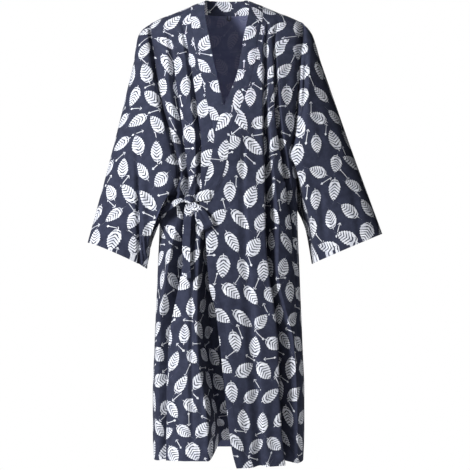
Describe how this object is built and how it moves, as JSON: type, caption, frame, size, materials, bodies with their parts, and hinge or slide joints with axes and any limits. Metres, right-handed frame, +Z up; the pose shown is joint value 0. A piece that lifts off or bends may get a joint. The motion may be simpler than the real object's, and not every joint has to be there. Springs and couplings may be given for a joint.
{
  "type": "kimono robe",
  "caption": "Long cotton wrap robe with wide kimono sleeves, a flat neckband and a tie at the right hip, filled out as worn with nobody in it.",
  "frame": {"origin": "between the two points where the neckband meets the shoulder seams, where a wearer's neck would be", "axes": "+Z up, the front faces -Y, +X is the wearer's left (the right side of the picture)"},
  "size_m": [0.734, 0.254, 1.1507],
  "materials": {
    "printed_cotton": "matt woven cotton, navy with a pale leaf print",
    "dark_tape": "dark woven tape"
  },
  "bodies": {
    "root": {"sleeve_right": "printed_cotton", "sleeve_left": "printed_cotton", "tie_knot": "printed_cotton", "tie_side": "printed_cotton", "tie_edge": "printed_cotton", "tie_loop": "printed_cotton", "tie_tail": "printed_cotton", "hanging_loop": "dark_tape", "front_right": "printed_cotton", "front_left": "printed_cotton", "back": "printed_cotton", "neckband": "printed_cotton"}
  },
  "joints": []
}
